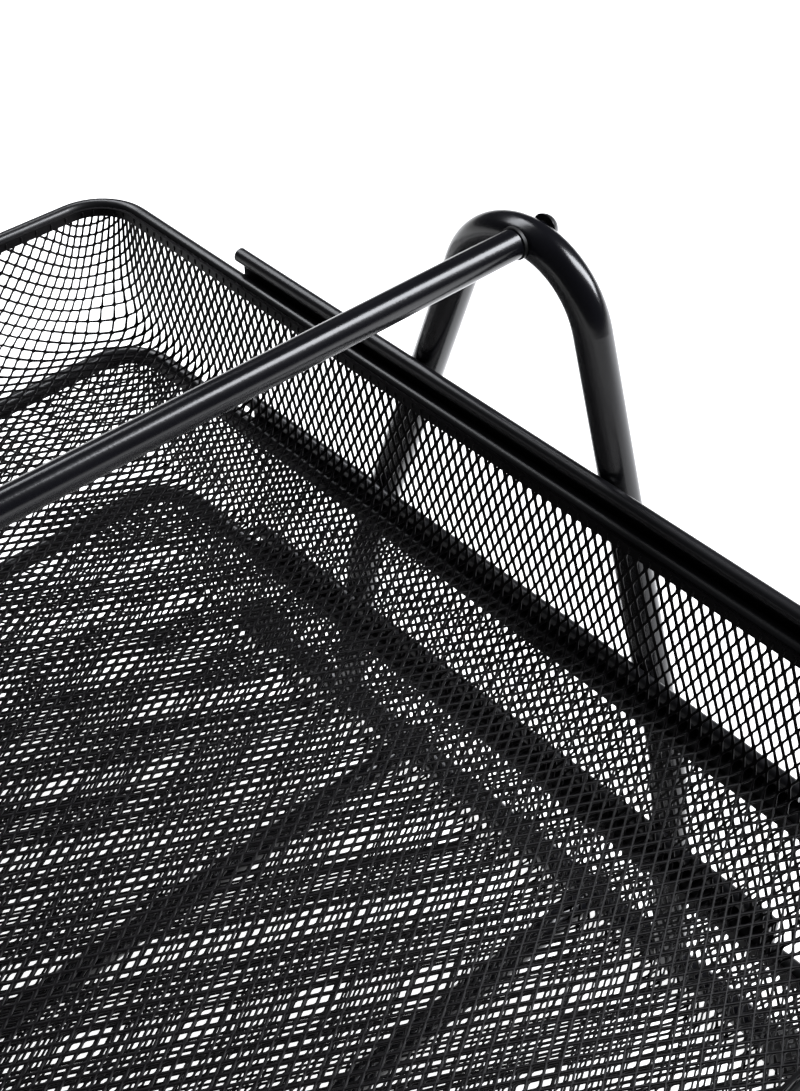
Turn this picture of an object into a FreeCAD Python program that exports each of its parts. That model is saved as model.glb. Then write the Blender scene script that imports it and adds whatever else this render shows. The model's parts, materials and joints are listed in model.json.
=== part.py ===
"""Three-tier expanded-mesh letter tray on a knock-down tube stand.

Millimetres. +X is the stand's right, +Y its rear and +Z up. The origin is at floor
level, under the centre of the whole object's bounding box.
"""
import FreeCAD, Part
import math
import os

from FreeCAD import Vector

# ---------------------------------------------------------------- stand
RAIL_OUTER_X = 131.0        # outer faces of the rails, where the leg tubes meet them
TOP_RAIL_Z = 165.1          # top of the top rail's rolled edge
TIER_PITCH = 51.3           # height from one rail to the next
ARCH_TUBE_R = 4.8
ARCH_CREST_Z = 214.0        # centreline height of the arch's crest
ARCH_CREST_R = 22.6         # centreline radius of the crest
HANDLE_Z = 214.8            # the handle bar sits a little above the crest's centreline
LEG_SPLAY = 18.0            # degrees from upright, above the knee
FOOT_SPLAY = 8.0            # degrees from upright, below the knee
KNEE_Z = 79.1
KNEE_R = 80.0
TUBE_WALL = 1.0
BASE_BAR_R = 4.0
BASE_BAR_Z = 6.0
BASE_BAR_LENGTH = 238.0
CROSSBAR_R = 3.75
CROSSBAR_Y = 40.0           # each side of the stand's middle

# ---------------------------------------------------------------- rails
RAIL_LENGTH = 209.0
RAIL_HEIGHT = 13.0
RAIL_SHEET = 1.0
RAIL_ROLL_R = 2.1           # outside of the rolled top edge
RAIL_BOTTOM_LIP = 5.4
RAIL_BEND_R = 1.4
RAIL_TONGUE = 6.5           # how far the bottom lip runs on past each end of the web
RAIL_TONGUE_ROUNDING = 2.0

# ---------------------------------------------------------------- plugs, screws, feet
PLUG_FLANGE = 0.8
PLUG_FLANGE_R = 4.1
PLUG_STEM = 12.0
SCREW_R = 1.9
SCREW_HOLE_R = 2.1
SCREW_HEAD_R = 3.6
SCREW_HEAD_H = 3.0
SCREW_SOCKET_R = 1.25
SCREW_SOCKET_DEPTH = 1.3
FOOT_R = 6.3
FOOT_LENGTH = 13.0
FOOT_END_WALL = 2.5
FOOT_ROUNDING = 1.5

# ---------------------------------------------------------------- trays
TRAY_LENGTH = 338.0
RIM_R = 2.3
RIM_SIDE_GAP = 0.5          # from the rim to the rail's web
RIM_REST_GAP = 0.3          # from the rim to the rail's bottom lip
RIM_CORNER_R = 18.0         # outside of the rim
WALL_TOP_RISE = 1.2         # wall and hem above the rim's centreline
HEM_SHEET = 0.7             # folded mesh along the top of the wall, on its inside
HEM_HEIGHT = 2.6
TRAY_SHEET = 0.4
TRAY_FLOOR_DROP = 49.0      # from the top of the rail to the underside of the tray
TRAY_BEND_R = 8.0           # wall to floor
TRAY_DRAFT = 2.0            # how much the floor is set in from the rim's inside

# How far forward of the stand's middle each tray stands.
TRAY_FORWARD = {"top": 0.0, "middle": 6.0, "bottom": 16.0}

# The stand's middle, so that the bounding box is centred on the origin.
STAND_Y = (min(TRAY_FORWARD.values()) + max(TRAY_FORWARD.values())) / 2

TIER_Z = {
    "top": TOP_RAIL_Z,
    "middle": TOP_RAIL_Z - TIER_PITCH,
    "bottom": TOP_RAIL_Z - 2 * TIER_PITCH,
}
SIDES = {"right": 1, "left": -1}
ENDS = {"front": -1, "rear": 1}

ARCH_X = RAIL_OUTER_X + ARCH_TUBE_R
RIM_X = RAIL_OUTER_X - RAIL_SHEET - RIM_SIDE_GAP - RIM_R
RIM_Y = TRAY_LENGTH / 2 - RIM_R
RIM_DROP = RAIL_HEIGHT - RAIL_SHEET - RIM_REST_GAP - RIM_R
WALL_X = RIM_X - RIM_R
WALL_Y = RIM_Y - RIM_R
WALL_CORNER_R = RIM_CORNER_R - 2 * RIM_R

X_AXIS = Vector(1, 0, 0)
Y_AXIS = Vector(0, 1, 0)


def save(name, shape):
    """Write one node's solid or group of solids."""
    shape.exportStep("parts/" + name + ".step")
    print(name, len(shape.Solids), round(shape.Volume, 1), shape.isValid())


def mirror_x(shape):
    return shape.mirror(Vector(0, 0, 0), X_AXIS)


def cylinder(radius, length, start, axis):
    return Part.makeCylinder(radius, length, start, axis)


def tube(radius, wall, length, start, axis):
    outer = cylinder(radius, length, start, axis)
    return outer.cut(cylinder(radius - wall, length, start, axis))


def round_edges(shape, radius, wanted):
    """Round every edge whose middle point passes the wanted test."""
    picked = []
    for edge in shape.Edges:
        middle = edge.valueAt((edge.FirstParameter + edge.LastParameter) / 2)
        if wanted(middle):
            picked.append(edge)
    return shape.makeFillet(radius, picked)


# ---------------------------------------------------------------- arches and base bars
def leg_points():
    """Y and Z of one leg's corner points: crest, shoulder, knee and base bar."""
    splay = math.radians(LEG_SPLAY)
    foot = math.radians(FOOT_SPLAY)
    centre_z = ARCH_CREST_Z - ARCH_CREST_R
    shoulder_y = ARCH_CREST_R * math.cos(splay)
    shoulder_z = centre_z + ARCH_CREST_R * math.sin(splay)
    knee_y = shoulder_y + (shoulder_z - KNEE_Z) * math.tan(splay)
    base_y = knee_y + (KNEE_Z - BASE_BAR_Z) * math.tan(foot)
    return (shoulder_y, shoulder_z), (knee_y, KNEE_Z), (base_y, BASE_BAR_Z)


def knee_arc(knee):
    """Start, middle and end of the knee's bend, in Y and Z."""
    splay = math.radians(LEG_SPLAY)
    foot = math.radians(FOOT_SPLAY)
    half_turn = (splay - foot) / 2
    tangent = KNEE_R * math.tan(half_turn)
    sagitta = KNEE_R * (1 / math.cos(half_turn) - 1)
    middle_tilt = (splay + foot) / 2
    start = (knee[0] - tangent * math.sin(splay), knee[1] + tangent * math.cos(splay))
    end = (knee[0] + tangent * math.sin(foot), knee[1] - tangent * math.cos(foot))
    middle = (knee[0] - sagitta * math.cos(middle_tilt), knee[1] - sagitta * math.sin(middle_tilt))
    return start, middle, end


def arch_path():
    """Centreline of the arch tube, from the front leg's foot over to the rear one's."""
    shoulder, knee, base = leg_points()
    bend_start, bend_middle, bend_end = knee_arc(knee)

    def at(point, end):
        return Vector(ARCH_X, STAND_Y + end * point[0], point[1])

    crest = Vector(ARCH_X, STAND_Y, ARCH_CREST_Z)
    edges = []
    for end in (-1, 1):
        leg = [
            Part.LineSegment(at(base, end), at(bend_end, end)).toShape(),
            Part.Arc(at(bend_end, end), at(bend_middle, end), at(bend_start, end)).toShape(),
            Part.LineSegment(at(bend_start, end), at(shoulder, end)).toShape(),
        ]
        edges += leg
    edges.append(Part.Arc(at(shoulder, -1), crest, at(shoulder, 1)).toShape())
    return Part.Wire(Part.__sortEdges__(edges))


def swept_circle(path, radius, start, direction):
    circle = Part.Wire(Part.makeCircle(radius, start, direction))
    return path.makePipeShell([circle], True, False)


def base_bar_solid():
    start = Vector(ARCH_X, STAND_Y - BASE_BAR_LENGTH / 2, BASE_BAR_Z)
    return cylinder(BASE_BAR_R, BASE_BAR_LENGTH, start, Y_AXIS)


def screw_hole(y, z):
    """A hole through both walls of a side tube, along X."""
    start = Vector(RAIL_OUTER_X - 1, y, z)
    return cylinder(SCREW_HOLE_R, 2 * ARCH_TUBE_R + 2, start, X_AXIS)


def right_arch():
    path = arch_path()
    start = path.OrderedVertexes[0].Point
    direction = path.OrderedEdges[0].tangentAt(path.OrderedEdges[0].FirstParameter)
    outer = swept_circle(path, ARCH_TUBE_R, start, direction)
    inner = swept_circle(path, ARCH_TUBE_R - TUBE_WALL, start, direction)
    arch = outer.cut(inner).cut(base_bar_solid())
    keep = Part.makeBox(4 * ARCH_TUBE_R, BASE_BAR_LENGTH, ARCH_CREST_Z + ARCH_TUBE_R)
    keep.translate(Vector(ARCH_X - 2 * ARCH_TUBE_R, STAND_Y - BASE_BAR_LENGTH / 2, BASE_BAR_Z))
    arch = arch.common(keep)
    return arch.cut(screw_hole(STAND_Y, HANDLE_Z))


def right_base_bar():
    start = Vector(ARCH_X, STAND_Y - BASE_BAR_LENGTH / 2, BASE_BAR_Z)
    bar = tube(BASE_BAR_R, TUBE_WALL, BASE_BAR_LENGTH, start, Y_AXIS)
    for end in ENDS.values():
        bar = bar.cut(screw_hole(STAND_Y + end * CROSSBAR_Y, BASE_BAR_Z))
    return bar


def right_foot_cap(end):
    """A closed cap over one end of the base bar, flattened where it stands."""
    bar_end = STAND_Y + end * BASE_BAR_LENGTH / 2
    outside = bar_end + end * FOOT_END_WALL
    start = Vector(ARCH_X, min(outside, outside - end * FOOT_LENGTH), BASE_BAR_Z)
    cap = cylinder(FOOT_R, FOOT_LENGTH, start, Y_AXIS)
    cap = round_edges(cap, FOOT_ROUNDING, lambda p: abs(p.y - outside) < 0.01)
    cap = cap.cut(base_bar_solid())
    floor = Part.makeBox(4 * FOOT_R, 2 * FOOT_LENGTH, FOOT_R)
    floor.translate(Vector(ARCH_X - 2 * FOOT_R, start.y - FOOT_LENGTH / 2, -FOOT_R))
    return cap.cut(floor)


# ---------------------------------------------------------------- rails
def rail_channel(front, bottom, web_top):
    """The rail's web and bottom lip, joined by a rounded bend."""
    outer_x = RAIL_OUTER_X - RAIL_BOTTOM_LIP
    outer = Part.makeBox(RAIL_BOTTOM_LIP, RAIL_LENGTH, web_top - bottom)
    outer.translate(Vector(outer_x, front, bottom))
    outer = round_edges(outer, RAIL_BEND_R, is_rail_bend(bottom, 0))
    hollow = Part.makeBox(RAIL_BOTTOM_LIP, RAIL_LENGTH, web_top - bottom)
    hollow.translate(Vector(outer_x - RAIL_SHEET, front, bottom + RAIL_SHEET))
    hollow = round_edges(hollow, RAIL_BEND_R - RAIL_SHEET, is_rail_bend(bottom, RAIL_SHEET))
    return outer.cut(hollow)


def is_rail_bend(bottom, inset):
    """Test for the long edge between web and lip, on the faces set in by inset."""
    def test(point):
        on_web = abs(point.x - (RAIL_OUTER_X - inset)) < 0.01
        on_lip = abs(point.z - (bottom + inset)) < 0.01
        at_middle = abs(point.y - STAND_Y) < 0.01
        return on_web and on_lip and at_middle
    return test


def rail_roll(front, roll_z):
    """The top edge, rolled inwards and round until it points back at the web."""
    roll_x = RAIL_OUTER_X - RAIL_ROLL_R
    roll = tube(RAIL_ROLL_R, RAIL_SHEET, RAIL_LENGTH, Vector(roll_x, front, roll_z), Y_AXIS)
    slit = Part.makeBox(RAIL_ROLL_R - RAIL_SHEET, RAIL_LENGTH, RAIL_ROLL_R)
    slit.translate(Vector(roll_x, front, roll_z - RAIL_ROLL_R))
    return roll.cut(slit)


def rail_tongue(end, bottom):
    """The bottom lip's flat tongue past one end of the web."""
    rail_end = STAND_Y + end * RAIL_LENGTH / 2
    inner_x = RAIL_OUTER_X - RAIL_BOTTOM_LIP
    tongue = Part.makeBox(RAIL_BOTTOM_LIP, RAIL_TONGUE, RAIL_SHEET)
    tongue.translate(Vector(inner_x, min(rail_end, rail_end + end * RAIL_TONGUE), bottom))
    tip = rail_end + end * RAIL_TONGUE

    def is_inner_corner(point):
        return abs(point.x - inner_x) < 0.01 and abs(point.y - tip) < 0.01

    return round_edges(tongue, RAIL_TONGUE_ROUNDING, is_inner_corner)


def right_rail(tier):
    """A channel that opens towards the tray, with a rolled top edge."""
    front = STAND_Y - RAIL_LENGTH / 2
    bottom = TIER_Z[tier] - RAIL_HEIGHT
    roll_z = TIER_Z[tier] - RAIL_ROLL_R
    rail = rail_channel(front, bottom, roll_z).fuse(rail_roll(front, roll_z))
    for end in ENDS.values():
        rail = rail.fuse(rail_tongue(end, bottom))
    return rail.removeSplitter()


# ---------------------------------------------------------------- cross tubes and fasteners
def cross_tube(radius, y, z, half_length):
    start = Vector(-half_length, y, z)
    return tube(radius, TUBE_WALL, 2 * half_length, start, X_AXIS)


def right_plug(bar_radius, side_x, y, z):
    """Flanged insert in a cross tube's end, with its flange against the side tube."""
    flange_start = Vector(side_x - PLUG_FLANGE, y, z)
    flange = cylinder(PLUG_FLANGE_R, PLUG_FLANGE, flange_start, X_AXIS)
    stem_start = Vector(side_x - PLUG_FLANGE - PLUG_STEM, y, z)
    stem = cylinder(bar_radius - TUBE_WALL, PLUG_STEM, stem_start, X_AXIS)
    thread = cylinder(SCREW_R, PLUG_STEM + PLUG_FLANGE, stem_start, X_AXIS)
    return flange.fuse(stem).removeSplitter().cut(thread)


def right_screw(tube_radius, y, z):
    """Domed socket screw through a side tube into the plug."""
    seat_x = ARCH_X + tube_radius
    tip_x = ARCH_X - tube_radius - PLUG_FLANGE - PLUG_STEM + 2
    shank = cylinder(SCREW_R, seat_x - tip_x, Vector(tip_x, y, z), X_AXIS)
    dome_r = (SCREW_HEAD_R ** 2 + SCREW_HEAD_H ** 2) / (2 * SCREW_HEAD_H)
    centre = Vector(seat_x + SCREW_HEAD_H - dome_r, y, z)
    ball = Part.makeSphere(dome_r, centre)
    head = ball.common(cylinder(SCREW_HEAD_R, SCREW_HEAD_H, Vector(seat_x, y, z), X_AXIS))
    socket_start = Vector(seat_x + SCREW_HEAD_H - SCREW_SOCKET_DEPTH, y, z)
    socket = cylinder(SCREW_SOCKET_R, SCREW_HEAD_H, socket_start, X_AXIS)
    return head.fuse(shank).removeSplitter().cut(socket)


# ---------------------------------------------------------------- trays
def rounded_outline(half_x, half_y, radius, centre_y, z):
    """Closed wire of a rounded rectangle, starting at the middle of its right side."""
    flat_x = half_x - radius
    flat_y = half_y - radius
    diagonal = radius * math.sqrt(0.5)

    def at(x, y):
        return Vector(x, centre_y + y, z)

    def corner(sx, sy, flip):
        ends = [at(sx * half_x, sy * flat_y), at(sx * flat_x, sy * half_y)]
        if flip:
            ends.reverse()
        middle = at(sx * (flat_x + diagonal), sy * (flat_y + diagonal))
        return Part.Arc(ends[0], middle, ends[1]).toShape()

    def side(x0, y0, x1, y1):
        return Part.LineSegment(at(x0, y0), at(x1, y1)).toShape()

    return Part.Wire([
        side(half_x, 0, half_x, flat_y),
        corner(1, 1, False),
        side(flat_x, half_y, -flat_x, half_y),
        corner(-1, 1, True),
        side(-half_x, flat_y, -half_x, -flat_y),
        corner(-1, -1, False),
        side(-flat_x, -half_y, flat_x, -half_y),
        corner(1, -1, True),
        side(half_x, -flat_y, half_x, 0),
    ])


def tray_centre_y(tier):
    return STAND_Y - TRAY_FORWARD[tier]


def tray_block(tier, offset, bend):
    """Filled tapering block with the tray wall's outline grown by offset."""
    top_z = TIER_Z[tier] - RIM_DROP + WALL_TOP_RISE
    floor_z = TIER_Z[tier] - TRAY_FLOOR_DROP - offset
    centre = tray_centre_y(tier)
    wires = []
    for z, inset in ((floor_z, TRAY_DRAFT - offset), (top_z, -offset)):
        radius = WALL_CORNER_R - inset
        wires.append(rounded_outline(WALL_X - inset, WALL_Y - inset, radius, centre, z))
    block = Part.makeLoft(wires, True, True)
    return round_edges(block, bend, lambda p: abs(p.z - floor_z) < 0.01)


def tray_basket(tier):
    outer = tray_block(tier, 0, TRAY_BEND_R)
    inner = tray_block(tier, -TRAY_SHEET, TRAY_BEND_R - TRAY_SHEET)
    return outer.cut(inner)


def tray_rim(tier):
    z = TIER_Z[tier] - RIM_DROP
    path = rounded_outline(RIM_X, RIM_Y, RIM_CORNER_R - RIM_R, tray_centre_y(tier), z)
    start = Vector(RIM_X, tray_centre_y(tier), z)
    return swept_circle(path, RIM_R, start, Y_AXIS)


def tray_hem(tier):
    """Band of folded-over mesh along the top of the wall's inside."""
    top_z = TIER_Z[tier] - RIM_DROP + WALL_TOP_RISE
    outer = tray_block(tier, -TRAY_SHEET, TRAY_BEND_R)
    inner = tray_block(tier, -TRAY_SHEET - HEM_SHEET, TRAY_BEND_R)
    slab = Part.makeBox(4 * WALL_X, 4 * WALL_Y, HEM_HEIGHT)
    slab.translate(Vector(-2 * WALL_X, -2 * WALL_Y, top_z - HEM_HEIGHT))
    return outer.cut(inner).common(slab)


def save_trays():
    for tier in TIER_Z:
        save(tier + "_tray_rim", tray_rim(tier))
        save(tier + "_tray_hem", tray_hem(tier))
        save(tier + "_tray_basket", tray_basket(tier))


def save_pair(name, right_shape):
    """Save a right-hand piece and its mirror image."""
    save("right_" + name, right_shape)
    save("left_" + name, mirror_x(right_shape))


def save_stand():
    save_pair("arch", right_arch())
    save_pair("base_bar", right_base_bar())
    for tier in TIER_Z:
        save_pair(tier + "_rail", right_rail(tier))
    for end_name, end in ENDS.items():
        save_pair(end_name + "_foot_cap", right_foot_cap(end))


def save_cross_tubes():
    arch_side = ARCH_X - ARCH_TUBE_R
    base_side = ARCH_X - BASE_BAR_R
    handle = cross_tube(CROSSBAR_R, STAND_Y, HANDLE_Z, arch_side - PLUG_FLANGE)
    save("handle_bar", handle)
    save_pair("handle_plug", right_plug(CROSSBAR_R, arch_side, STAND_Y, HANDLE_Z))
    handle_screw = right_screw(ARCH_TUBE_R, STAND_Y, HANDLE_Z)
    save("handle_screws", Part.makeCompound([handle_screw, mirror_x(handle_screw)]))
    plugs = []
    screws = []
    for end_name, end in ENDS.items():
        y = STAND_Y + end * CROSSBAR_Y
        save(end_name + "_crossbar", cross_tube(CROSSBAR_R, y, BASE_BAR_Z, base_side - PLUG_FLANGE))
        plug = right_plug(CROSSBAR_R, base_side, y, BASE_BAR_Z)
        screw = right_screw(BASE_BAR_R, y, BASE_BAR_Z)
        plugs += [plug, mirror_x(plug)]
        screws += [screw, mirror_x(screw)]
    save("crossbar_plugs", Part.makeCompound(plugs))
    save("crossbar_screws", Part.makeCompound(screws))


os.makedirs("parts", exist_ok=True)
save_stand()
save_cross_tubes()
save_trays()
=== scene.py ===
import json
import math

import bpy
import numpy as np
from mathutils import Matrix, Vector


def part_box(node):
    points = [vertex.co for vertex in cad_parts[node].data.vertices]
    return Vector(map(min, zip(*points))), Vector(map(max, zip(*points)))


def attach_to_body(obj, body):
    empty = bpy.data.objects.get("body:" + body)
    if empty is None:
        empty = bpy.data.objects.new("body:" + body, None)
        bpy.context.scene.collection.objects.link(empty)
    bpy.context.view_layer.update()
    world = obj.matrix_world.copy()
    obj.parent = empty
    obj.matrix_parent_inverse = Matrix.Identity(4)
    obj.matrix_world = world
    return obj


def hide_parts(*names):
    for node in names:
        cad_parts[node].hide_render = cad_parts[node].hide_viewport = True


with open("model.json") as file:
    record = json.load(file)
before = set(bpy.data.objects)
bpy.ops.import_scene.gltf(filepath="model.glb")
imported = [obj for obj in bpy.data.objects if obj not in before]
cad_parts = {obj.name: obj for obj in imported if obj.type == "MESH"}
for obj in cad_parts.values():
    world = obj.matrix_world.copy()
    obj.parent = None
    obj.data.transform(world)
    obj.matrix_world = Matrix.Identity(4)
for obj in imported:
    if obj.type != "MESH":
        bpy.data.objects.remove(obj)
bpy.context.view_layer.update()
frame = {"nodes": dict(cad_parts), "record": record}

MM = 0.001
TIERS = ("top", "middle", "bottom")

# ---------------------------------------------------------------- tray form, in mm
WALL_CORNER_R = 13.4
FLOOR_INSET = 2.0
BEND_R = 8.0
SHEET = 0.4

# ---------------------------------------------------------------- expanded mesh, in mm
CELL_LONG = 5.9             # diamond pitch along X on the floor
CELL_SHORT = 3.3            # diamond pitch along Y on the floor
BEND_REACH = 6.0            # how far past the core the floor's bend begins
SHEET_SPARE = 26.0          # mesh laid out beyond the wall's top, then cut off
# Width over which the pitch changes, and its gain at the bend and up the wall.
FORMING_X = (40, 1.0, 1.19)
FORMING_Y = (45, 1.2, 1.42)
STRAND_WIDTHS = (0.50, 0.63)  # on the floor, and high on the walls
WIDE_STRAND_HEIGHT = 25.0
STRAND_THICKNESS = 0.32
STRAND_TILT = 0.20          # rise of a strand's edge out of the sheet
TILT_SHARE = 0.7            # share of the half diagonal at which the tilt is full
SHORTEST_STRAND = 3.0
LONGEST_STRAND = 4.2
RELAX_STEPS = 200
STRAND_SPRING = 0.12        # share of a strand's length error mended in one step
EVENING = 0.08              # pull of a node towards the middle of its neighbours
NET_SHIFT = 2.9             # how far a tray's mesh may start from the sheet's middle
NET_SKEW = 0.8              # degrees it may be cut out of square
NET_STRETCH = 0.035         # share by which forming may stretch or shrink it
CELL_CUT = 0.3              # cells that start no lower than this below the wall's top are left out
FLOOR_CELL_HEIGHT = 0.6     # cells lower than this belong to the floor pieces
FIRST_SEED = 31

# Shares of a diamond's half diagonals.
HOLE_CORNER = 0.95
HOLE_ROUND = 0.15
HOLE_LIMITS = (0.25, 0.95)

# ---------------------------------------------------------------- dents, in mm
DENT_DEPTH = 0.9            # how far handling has pushed a wall or floor out of true
DENT_WAVES = 9              # waves summed for one tray's dents
DENT_WAVELENGTHS = (55, 160)
FLOOR_DENT = 0.8            # share of the depth that a floor takes
WALL_START = 2.0            # height at which the walls' dents fade in
WALL_FADE = 8.0

# ---------------------------------------------------------------- knuckles, in mm
HEM_SHEET = 0.7
KNUCKLE_PITCH_SIDE = 3.3    # one folded strand end for each diamond
KNUCKLE_PITCH_END = 5.25
KNUCKLE_HALF = (0.42, 0.95, 0.38)   # along the hem, up, and out of it
KNUCKLE_RINGS = ((-1.0, 0.35), (-0.6, 0.9), (0.0, 1.0), (0.6, 0.9), (1.0, 0.35))  # height, girth
KNUCKLE_SIDES = 6
KNUCKLE_WANDER = 0.15       # how far one may sit above or below the row
KNUCKLE_LEAN = 0.12


# ---------------------------------------------------------------- materials
TONE_SCALE = 45.0           # coat patches per metre
TONE_RANGE = (0.8, 1.25)    # darkest and palest patch, as shares of the colour
GLOSS_RANGE = (-0.04, 0.05)
PEEL_STRENGTH = 0.35
COAT_ROUGHNESS = 0.18


def node(tree, kind, **values):
    made = tree.nodes.new(kind)
    for name, value in values.items():
        setattr(made, name, value)
    return made


def coated_metal(name, colour, roughness, peel_size, peel_height, coat, specular):
    """Black powder coat: fine orange peel, slight colour and gloss variation."""
    material = bpy.data.materials.new(name)
    material.use_nodes = True
    tree = material.node_tree
    shader = tree.nodes["Principled BSDF"]
    place = node(tree, "ShaderNodeTexCoord")
    link = tree.links.new

    tone = node(tree, "ShaderNodeTexNoise")
    tone.inputs["Scale"].default_value = TONE_SCALE
    tone.inputs["Detail"].default_value = 4.0
    link(place.outputs["Object"], tone.inputs["Vector"])
    ramp = node(tree, "ShaderNodeValToRGB")
    for element, share in zip(ramp.color_ramp.elements, TONE_RANGE):
        element.color = (*[c * share for c in colour], 1)
    link(tone.outputs["Fac"], ramp.inputs["Fac"])
    link(ramp.outputs["Color"], shader.inputs["Base Color"])

    gloss = node(tree, "ShaderNodeMapRange")
    gloss.inputs["To Min"].default_value = roughness + GLOSS_RANGE[0]
    gloss.inputs["To Max"].default_value = roughness + GLOSS_RANGE[1]
    link(tone.outputs["Fac"], gloss.inputs["Value"])
    link(gloss.outputs["Result"], shader.inputs["Roughness"])

    peel = node(tree, "ShaderNodeTexNoise")
    peel.inputs["Scale"].default_value = 1.0 / peel_size
    peel.inputs["Detail"].default_value = 2.0
    link(place.outputs["Object"], peel.inputs["Vector"])
    bump = node(tree, "ShaderNodeBump")
    bump.inputs["Strength"].default_value = PEEL_STRENGTH
    bump.inputs["Distance"].default_value = peel_height
    link(peel.outputs["Fac"], bump.inputs["Height"])
    link(bump.outputs["Normal"], shader.inputs["Normal"])

    shader.inputs["Specular IOR Level"].default_value = specular
    shader.inputs["Coat Weight"].default_value = coat
    shader.inputs["Coat Roughness"].default_value = COAT_ROUGHNESS
    return material


# Name, colour, roughness, orange peel size and height in metres, clear coat, specular level.
COATS = {
    "tube_coat": ("tube_powder_coat", (0.003, 0.003, 0.0045), 0.20, 0.0011, 0.00004, 0.10, 0.36),
    "rail_coat": ("rail_powder_coat", (0.004, 0.004, 0.005), 0.32, 0.0010, 0.00004, 0.05, 0.4),
    "rim_coat": ("rim_powder_coat", (0.004, 0.004, 0.0045), 0.30, 0.0010, 0.00003, 0.10, 0.4),
    "mesh_coat": ("mesh_powder_coat", (0.004, 0.0035, 0.004), 0.34, 0.0008, 0.00003, 0.0, 0.08),
    "plug_plastic": ("plug_moulded_plastic", (0.005, 0.005, 0.005), 0.5, 0.0006, 0.00003, 0.0, 0.4),
    "screw_black": ("screw_black_oxide", (0.005, 0.005, 0.005), 0.32, 0.0005, 0.00001, 0.0, 0.4),
    "foot_cap_rubber": ("foot_soft_plastic", (0.006, 0.006, 0.006), 0.6, 0.0007, 0.00005, 0.0, 0.4),
}
MATERIALS = {slot: coated_metal(*coat) for slot, coat in COATS.items()}


def dress_cad_nodes():
    """Give every carried-over CAD node its procedural material."""
    slots = {}
    for row in frame["record"]["subparts"]:
        slots[row["node"]] = row["material_slot"]
    for name, obj in frame["nodes"].items():
        material = MATERIALS[slots[name]]
        if not obj.material_slots:
            obj.data.materials.append(material)
        for holder in obj.material_slots:
            holder.link = "OBJECT"
            holder.material = material


# ---------------------------------------------------------------- tray surface
class TraySurface:
    """Middle surface of one tray's sheet, in mm about the tray's middle at floor level."""

    def __init__(self, basket):
        low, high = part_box(basket)
        size = (Vector(high) - Vector(low)) / MM
        self.origin = np.array([(low[0] + high[0]) / 2, (low[1] + high[1]) / 2, low[2]]) / MM
        self.origin[2] += SHEET / 2
        self.core_x = size.x / 2 - WALL_CORNER_R
        self.core_y = size.y / 2 - WALL_CORNER_R
        self.height = size.z - SHEET / 2
        self.flat_r = WALL_CORNER_R - FLOOR_INSET - BEND_R
        self.lean = math.atan(FLOOR_INSET / size.z)
        self.bend_turn = math.pi / 2 - self.lean
        self.bend_end = self.flat_r + BEND_R * self.bend_turn

    def profile(self, t):
        """Radius outside the core, and height, at arc length t from the core's edge."""
        turn = np.clip((t - self.flat_r) / BEND_R, 0, self.bend_turn)
        rise = np.maximum(t - self.bend_end, 0)
        r = np.minimum(t, self.flat_r) + BEND_R * np.sin(turn) + rise * math.sin(self.lean)
        z = BEND_R * (1 - np.cos(turn)) + rise * math.cos(self.lean)
        return r, z

    def arc_length(self, r, z):
        """Arc length of the profile's point nearest to a radius and height."""
        turn = np.arctan2(r - self.flat_r, np.maximum(BEND_R - z, 1e-6))
        on_bend = self.flat_r + BEND_R * turn
        bend_r = self.flat_r + BEND_R * math.sin(self.bend_turn)
        bend_z = BEND_R * (1 - math.cos(self.bend_turn))
        rise = (r - bend_r) * math.sin(self.lean) + (z - bend_z) * math.cos(self.lean)
        t = np.where(r < self.flat_r, r, on_bend)
        below = np.minimum(t, self.bend_end)
        return np.where((rise > 0) & (r > self.flat_r), self.bend_end + rise, below)

    def outside(self, xy):
        """Unit outward direction and distance of points outside the core rectangle."""
        core = np.clip(xy, [-self.core_x, -self.core_y], [self.core_x, self.core_y])
        away = xy - core
        distance = np.linalg.norm(away, axis=1)
        return core, away / np.maximum(distance, 1e-9)[:, None], distance

    def place(self, xy_sheet):
        """Lay flat sheet points onto the tray, wrapping them round its corners."""
        core, outward, distance = self.outside(xy_sheet)
        r, z = self.profile(distance)
        return np.column_stack([core + outward * r[:, None], z])

    def settle(self, points):
        """Move points to the nearest place on the surface."""
        core, outward, distance = self.outside(points[:, :2])
        t = self.arc_length(distance, points[:, 2])
        r, z = self.profile(t)
        on_floor = distance < 1e-6
        r = np.where(on_floor, 0, r)
        z = np.where(on_floor, 0, z)
        return np.column_stack([core + outward * r[:, None], z])


def stretched(steps, pitch, edge, soft, floor_gain, wall_gain):
    """Sheet coordinate of lattice steps whose pitch grows towards and up the walls."""
    count = int(np.max(np.abs(steps))) + 1
    at = np.zeros(count + 1)
    for i in range(count):
        nearness = np.clip((at[i] - (edge - soft)) / soft, 0, 1)
        gain = 1 + (floor_gain - 1) * nearness
        if at[i] > edge:
            gain = wall_gain
        at[i + 1] = at[i] + pitch * gain
    return np.sign(steps) * at[np.abs(steps)]


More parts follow.
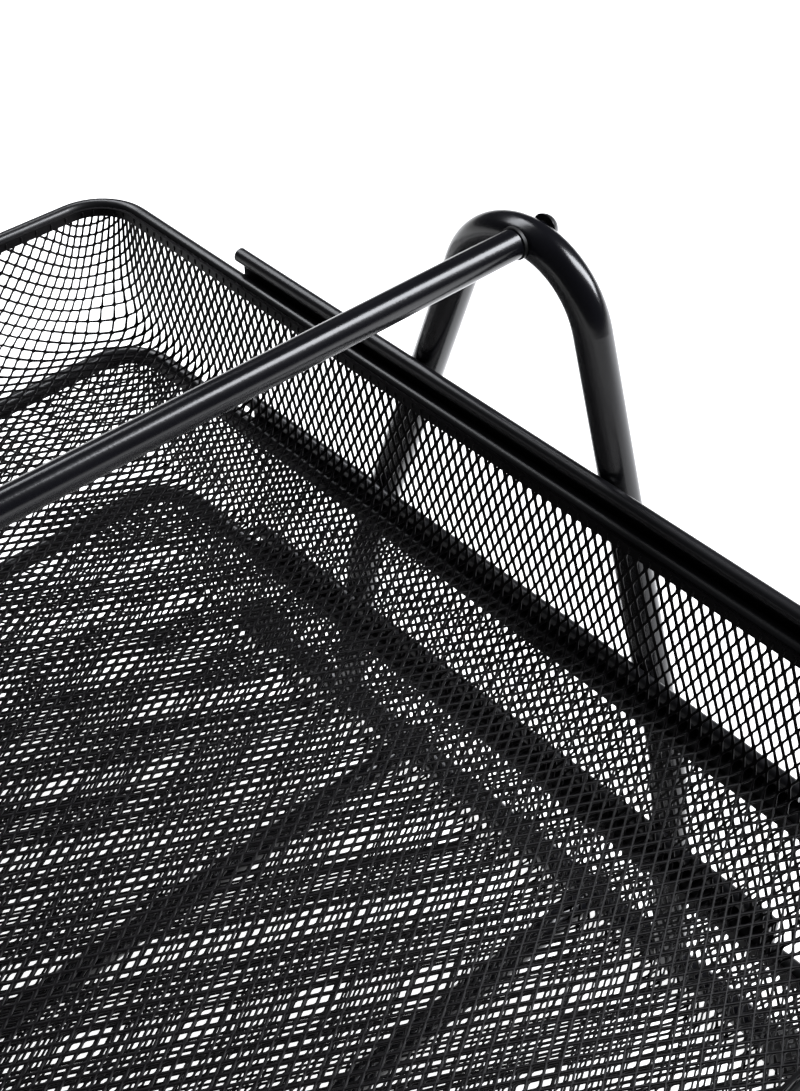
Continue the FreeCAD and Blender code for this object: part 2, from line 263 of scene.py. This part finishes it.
def build_net(surface, random):
    """Nodes and diamonds of the expanded mesh, drawn over the tray's form."""
    reach = surface.height + SHEET_SPARE
    half_i = int((surface.core_x + reach) / (CELL_LONG / 2))
    half_j = int((surface.core_y + reach) / (CELL_SHORT / 2))
    i, j = np.meshgrid(np.arange(-half_i, half_i + 1), np.arange(-half_j, half_j + 1), indexing="ij")
    is_node = (i + j) % 2 == 0
    x = stretched(i, CELL_LONG / 2, surface.core_x + BEND_REACH, *FORMING_X)
    y = stretched(j, CELL_SHORT / 2, surface.core_y + BEND_REACH, *FORMING_Y)
    skew = math.radians(random.uniform(-NET_SKEW, NET_SKEW))
    sheet = np.column_stack([
        x[is_node] * math.cos(skew) - y[is_node] * math.sin(skew),
        x[is_node] * math.sin(skew) + y[is_node] * math.cos(skew)])
    sheet *= 1 + random.uniform(-NET_STRETCH, NET_STRETCH, 2)
    sheet += random.uniform(-NET_SHIFT, NET_SHIFT, 2)
    index = -np.ones(i.shape, dtype=int)
    index[is_node] = np.arange(is_node.sum())
    points = surface.place(sheet)

    a = index[:-1, :-1]
    b = index[1:, 1:]
    c = index[1:, :-1]
    d = index[:-1, 1:]
    strands = np.concatenate([
        np.column_stack([a[a >= 0], b[a >= 0]]),
        np.column_stack([c[c >= 0], d[c >= 0]]),
    ])
    centre = ~is_node[1:-1, 1:-1]
    cells = np.column_stack([
        index[:-2, 1:-1][centre],
        index[1:-1, :-2][centre],
        index[2:, 1:-1][centre],
        index[1:-1, 2:][centre],
    ])
    points = relax(surface, points, strands)
    return points, cells


def relax(surface, points, strands):
    """Let squeezed strands push back to their own length, and even out the cells round them."""
    first, second = strands.T
    total = len(points)
    ties = np.bincount(first, minlength=total) + np.bincount(second, minlength=total)
    evening = np.where(ties == 4, EVENING, 0)
    rest = np.linalg.norm(points[second] - points[first], axis=1)
    rest = np.clip(rest, SHORTEST_STRAND, LONGEST_STRAND)
    for _ in range(RELAX_STEPS):
        span = points[second] - points[first]
        length = np.maximum(np.linalg.norm(span, axis=1), 1e-6)
        spring = STRAND_SPRING * (1 - rest / length)
        move = np.zeros_like(points)
        for axis in range(3):
            move[:, axis] += np.bincount(first, span[:, axis] * (spring + evening[first]), total)
            move[:, axis] -= np.bincount(second, span[:, axis] * (spring + evening[second]), total)
        points = surface.settle(points + move)
    return points


# ---------------------------------------------------------------- strand geometry
def unit(vectors):
    return vectors / np.maximum(np.linalg.norm(vectors, axis=1), 1e-9)[:, None]


def hole_corners(across, along, half):
    """The six corners of each diamond's hole, as shares of its two half diagonals."""
    area = np.linalg.norm(np.cross(across, along), axis=1)
    rising = 1 - half * np.linalg.norm(across - along, axis=1) / area
    falling = 1 - half * np.linalg.norm(across + along, axis=1) / area
    rising = np.clip(rising, *HOLE_LIMITS)
    falling = np.clip(falling, *HOLE_LIMITS)
    right = np.column_stack([(rising + falling) / 2, (rising - falling) / 2])
    top = np.column_stack([(rising - falling) / 2, (rising + falling) / 2])
    shares = [
        right * HOLE_CORNER,
        top * (1 - HOLE_ROUND) + right * HOLE_ROUND,
        top * (1 - HOLE_ROUND) - right * HOLE_ROUND,
    ]
    return shares + [-share for share in shares]


def strand_mesh(name, points, cells):
    """Closed mesh of raised strands round the given diamonds."""
    left, bottom, right, top = (points[cells[:, k]] for k in range(4))
    across = (right - left) / 2
    along = (top - bottom) / 2
    middle = (left + bottom + right + top) / 4
    normal = unit(np.cross(across, along))
    total = len(points)
    node_normal = np.zeros_like(points)
    for k in range(4):
        for axis in range(3):
            node_normal[:, axis] += np.bincount(cells[:, k], normal[:, axis], total)
    node_normal = unit(node_normal)

    half = STRAND_THICKNESS / 2
    blocks = [points + node_normal * half, points - node_normal * half]
    height = middle[:, 2] - points[:, 2].min()
    holes = hole_corners(across, along, np.interp(height, (0, WIDE_STRAND_HEIGHT), STRAND_WIDTHS) / 2)
    for share in holes:
        lift = -STRAND_TILT * np.clip(share[:, 1] / TILT_SHARE, -1, 1)
        at = middle + across * share[:, :1] + along * share[:, 1:] + normal * lift[:, None]
        blocks += [at + normal * half, at - normal * half]
    vertices = np.concatenate(blocks)

    count = len(cells)
    own = np.arange(count)

    def outer(k, level):
        return cells[:, k] + level * total

    def inner(k, level):
        return 2 * total + (2 * (k % 6) + level) * count + own

    quads = []
    triangles = []
    # Outer corners in order: right, top, left, bottom. Each spans these hole corners.
    sides = [(2, 3, 0, 1), (3, 0, 2, 3), (0, 1, 3, 4), (1, 2, 5, 0)]
    for start, end, near, far in sides:
        quads.append([outer(start, 0), outer(end, 0), inner(far, 0), inner(near, 0)])
        quads.append([outer(end, 1), outer(start, 1), inner(near, 1), inner(far, 1)])
    for corner, near, far in ((3, 1, 2), (1, 4, 5)):
        triangles.append([outer(corner, 0), inner(far, 0), inner(near, 0)])
        triangles.append([outer(corner, 1), inner(near, 1), inner(far, 1)])
    for k in range(6):
        quads.append([inner(k, 0), inner(k + 1, 0), inner(k + 1, 1), inner(k, 1)])
    quads += open_edges(cells, total)
    quads = np.concatenate([np.column_stack(q) for q in quads])
    triangles = np.concatenate([np.column_stack(t) for t in triangles])
    return make_object(name, vertices, quads, triangles)


def open_edges(cells, total):
    """Side faces for the strands that have a diamond on one side only."""
    ends = [(2, 3), (3, 0), (0, 1), (1, 2)]
    pairs = np.concatenate([cells[:, list(pair)] for pair in ends])
    keys = np.sort(pairs, axis=1)
    keys = keys[:, 0] * total + keys[:, 1]
    _, back, counts = np.unique(keys, return_inverse=True, return_counts=True)
    lone = pairs[counts[back] == 1]
    start, end = lone.T
    return [[start + total, end + total, end, start]]


def make_object(name, vertices, quads, triangles):
    """Mesh object from points in mm, without the points that no face uses."""
    used = np.zeros(len(vertices), dtype=bool)
    used[quads.ravel()] = True
    used[triangles.ravel()] = True
    renumber = np.cumsum(used) - 1
    loops = np.concatenate([renumber[quads].ravel(), renumber[triangles].ravel()])
    sizes = np.concatenate([np.full(len(quads), 4), np.full(len(triangles), 3)])
    mesh = bpy.data.meshes.new(name)
    mesh.vertices.add(int(used.sum()))
    mesh.vertices.foreach_set("co", (vertices[used] * MM).astype(np.float32).ravel())
    mesh.loops.add(len(loops))
    mesh.loops.foreach_set("vertex_index", loops.astype(np.int32))
    mesh.polygons.add(len(sizes))
    starts = np.concatenate([[0], np.cumsum(sizes)[:-1]])
    mesh.polygons.foreach_set("loop_start", starts.astype(np.int32))
    mesh.polygons.foreach_set("loop_total", sizes.astype(np.int32))
    mesh.update(calc_edges=True)
    mesh.validate()
    obj = bpy.data.objects.new(name, mesh)
    bpy.context.scene.collection.objects.link(obj)
    return obj


# ---------------------------------------------------------------- knuckles
def hem_walk(half_x, half_y, radius):
    """Points round the hem's inside, each with its inward direction in plan."""
    walk = []
    for sign in (-1, 1):
        reach = half_y - radius
        for y in np.arange(-reach, reach + 0.1, KNUCKLE_PITCH_SIDE):
            walk.append((sign * half_x, y, -sign, 0))
        reach = half_x - radius
        for x in np.arange(-reach, reach + 0.1, KNUCKLE_PITCH_END):
            walk.append((x, sign * half_y, 0, -sign))
    steps = max(2, round(radius * math.pi / 2 / KNUCKLE_PITCH_SIDE))
    for sx in (-1, 1):
        for sy in (-1, 1):
            for k in range(1, steps):
                turn = math.pi / 2 * k / steps
                out_x = sx * math.cos(turn)
                out_y = sy * math.sin(turn)
                x = sx * (half_x - radius) + radius * out_x
                y = sy * (half_y - radius) + radius * out_y
                walk.append((x, y, -out_x, -out_y))
    return np.array(walk)


def knuckle_shape():
    """Rings of a small capped bead: along the hem, up, and out of it."""
    rows = []
    for height, girth in KNUCKLE_RINGS:
        for turn in np.linspace(0, 2 * math.pi, KNUCKLE_SIDES, endpoint=False):
            rows.append((girth * math.cos(turn), height, girth * math.sin(turn)))
    return np.array(rows) * KNUCKLE_HALF


def knuckle_faces():
    """Quads between the rings and fans over the two ends of one bead."""
    quads = []
    triangles = []
    last = KNUCKLE_SIDES * (len(KNUCKLE_RINGS) - 1)
    for ring in range(0, last, KNUCKLE_SIDES):
        for k in range(KNUCKLE_SIDES):
            after = (k + 1) % KNUCKLE_SIDES
            above = ring + KNUCKLE_SIDES
            quads.append((ring + k, ring + after, above + after, above + k))
    for k in range(1, KNUCKLE_SIDES - 1):
        triangles.append((0, k + 1, k))
        triangles.append((last, last + k, last + k + 1))
    return np.array(quads), np.array(triangles)


def build_knuckles(tier, random):
    """The folded strand ends that show as a row of beads along the hem."""
    low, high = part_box(tier + "_tray_hem")
    middle = (np.array(low) + np.array(high)) / 2 / MM
    half = (np.array(high) - np.array(low)) / 2 / MM - HEM_SHEET
    walk = hem_walk(half[0], half[1], WALL_CORNER_R - SHEET - HEM_SHEET)
    shape = knuckle_shape()
    inward = np.column_stack([walk[:, 2:], np.zeros(len(walk))])
    along = np.column_stack([-walk[:, 3], walk[:, 2], np.zeros(len(walk))])
    place = np.column_stack([walk[:, :2], random.uniform(-KNUCKLE_WANDER, KNUCKLE_WANDER, len(walk))])
    lean = random.uniform(-KNUCKLE_LEAN, KNUCKLE_LEAN, len(walk))
    points = (
        place[:, None] + along[:, None] * (shape[:, 0] + shape[:, 1] * lean[:, None])[:, :, None]
        + inward[:, None] * shape[None, :, 2:]
        + np.array([0, 0, 1.0]) * shape[None, :, 1:2])
    quads, triangles = knuckle_faces()
    start = np.arange(len(walk))[:, None, None] * len(shape)
    quads = (quads + start).reshape(-1, 4)
    triangles = (triangles + start).reshape(-1, 3)
    vertices = points.reshape(-1, 3) + middle
    piece = make_object(tier + "_tray_hem_knuckles", vertices, quads, triangles)
    for polygon in piece.data.polygons:
        polygon.use_smooth = True
    attach(piece, tier + "_tray", "mesh_coat")


# ---------------------------------------------------------------- trays
def dented(points, surface, random):
    """Push the net gently inwards here and there, never near the rim or outwards."""
    height = points[:, 2] / surface.height
    on_wall = np.clip((points[:, 2] - WALL_START) / WALL_FADE, 0, 1)
    _, outward, _ = surface.outside(points[:, :2])
    swell = np.zeros(len(points))
    for _ in range(DENT_WAVES):
        heading = random.uniform(0, 2 * math.pi)
        wavelength = random.uniform(*DENT_WAVELENGTHS)
        phase = points[:, 0] * math.cos(heading) + points[:, 1] * math.sin(heading)
        swell += np.sin(2 * math.pi * phase / wavelength + random.uniform(0, 2 * math.pi))
    swell = np.clip(0.5 + swell / DENT_WAVES, 0, 1) * DENT_DEPTH
    fade = np.clip(4 * height * (1 - height), 0, 1)
    moved = points.copy()
    moved[:, :2] -= outward * (swell * on_wall * fade)[:, None]
    moved[:, 2] += swell * (1 - on_wall) * FLOOR_DENT
    return moved


def attach(obj, body, slot, *replaced):
    """Let a piece ride on a body, with its material, in place of CAD nodes."""
    obj.data.materials.append(MATERIALS[slot])
    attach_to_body(obj, body)
    if replaced:
        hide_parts(*replaced)


def build_trays():
    for order, tier in enumerate(TIERS):
        random = np.random.default_rng(FIRST_SEED + order)
        basket = tier + "_tray_basket"
        surface = TraySurface(basket)
        points, cells = build_net(surface, random)
        ceiling = surface.height
        clipped = points.copy()
        clipped[:, 2] = np.minimum(clipped[:, 2], ceiling)
        low = points[cells][:, :, 2].min(axis=1)
        kept = cells[low < ceiling - CELL_CUT]
        centre = clipped[kept].mean(axis=1)
        on_wall = centre[:, 2] > FLOOR_CELL_HEIGHT
        placed = dented(clipped, surface, random) + surface.origin
        groups = {
            basket + "_walls": on_wall,
            basket + "_floor_front": ~on_wall & (centre[:, 1] < 0),
            basket + "_floor_rear": ~on_wall & (centre[:, 1] >= 0),
        }
        for name, wanted in groups.items():
            piece = strand_mesh(name, placed, kept[wanted])
            attach(piece, tier + "_tray", "mesh_coat", basket)
        build_knuckles(tier, random)


# ---------------------------------------------------------------- studio
CAMERA_AZIMUTH = 42.33
CAMERA_ELEVATION = 41.33
CAMERA_LENS = 59.7
CAMERA_SHIFT_Y = -0.0124
# From the outer top edge of the top right rail, at the rail's middle.
CAMERA_OFFSET = Vector((-0.2618, -0.2476, 0.2764))
SENSOR = 36.0

FLOOR_REACH = 60.0
FLOOR_GREY = 0.9
FLOOR_GLOW = 0.95
WORLD_COLOUR = (0.9, 0.92, 1.0)
WORLD_STRENGTH = 0.07
LIGHT_COLOUR = (0.93, 0.95, 1.0)
LIGHT_TARGET = (0, 0, 0.1)
# Name, place in metres, width and height in metres, and power in watts.
SOFTBOXES = (
    ("front_right_softbox", (1.15, -0.55, 1.20), (0.55, 1.3), 46),
    ("rear_softbox", (0.2, 1.0, 1.25), (1.0, 0.4), 12),
)


def build_camera():
    low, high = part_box("right_top_rail")
    rail = Vector((high[0], (low[1] + high[1]) / 2, high[2]))
    data = bpy.data.cameras.new("camera")
    data.lens = CAMERA_LENS
    data.sensor_width = SENSOR
    data.sensor_height = SENSOR
    data.sensor_fit = "AUTO"
    data.shift_y = CAMERA_SHIFT_Y
    data.clip_start = 0.01
    camera = bpy.data.objects.new("camera", data)
    bpy.context.scene.collection.objects.link(camera)
    camera.location = rail + CAMERA_OFFSET
    camera.rotation_euler = (
        math.radians(90 - CAMERA_ELEVATION), 0, math.radians(-CAMERA_AZIMUTH))
    bpy.context.scene.camera = camera


def area_light(name, location, size, power):
    data = bpy.data.lights.new(name, "AREA")
    data.shape = "RECTANGLE"
    data.size, data.size_y = size
    data.energy = power
    data.color = LIGHT_COLOUR
    light = bpy.data.objects.new(name, data)
    light.location = location
    direction = Vector(LIGHT_TARGET) - Vector(location)
    light.rotation_euler = direction.to_track_quat("-Z", "Y").to_euler()
    bpy.context.scene.collection.objects.link(light)


def build_floor():
    """A plain white sweep that also lights the object a little from below."""
    floor_mesh = bpy.data.meshes.new("floor")
    corners = [
        (-FLOOR_REACH, -FLOOR_REACH, 0), (FLOOR_REACH, -FLOOR_REACH, 0),
        (FLOOR_REACH, FLOOR_REACH, 0), (-FLOOR_REACH, FLOOR_REACH, 0)]
    floor_mesh.from_pydata(corners, [], [(0, 1, 2, 3)])
    floor = bpy.data.objects.new("floor", floor_mesh)
    bpy.context.scene.collection.objects.link(floor)
    white = bpy.data.materials.new("studio_floor")
    white.use_nodes = True
    shader = white.node_tree.nodes["Principled BSDF"]
    shader.inputs["Base Color"].default_value = (FLOOR_GREY, FLOOR_GREY, FLOOR_GREY, 1)
    shader.inputs["Roughness"].default_value = 0.9
    shader.inputs["Specular IOR Level"].default_value = 0.1
    shader.inputs["Emission Color"].default_value = (1, 1, 1, 1)
    shader.inputs["Emission Strength"].default_value = FLOOR_GLOW
    floor_mesh.materials.append(white)


def build_studio():
    build_floor()
    world = bpy.data.worlds.new("studio")
    world.use_nodes = True
    sky = world.node_tree.nodes["Background"]
    sky.inputs["Color"].default_value = (*WORLD_COLOUR, 1)
    sky.inputs["Strength"].default_value = WORLD_STRENGTH
    bpy.context.scene.world = world
    for name, location, size, power in SOFTBOXES:
        area_light(name, location, size, power)
    bpy.context.scene.view_settings.view_transform = "Standard"


dress_cad_nodes()
build_trays()
build_camera()
build_studio()
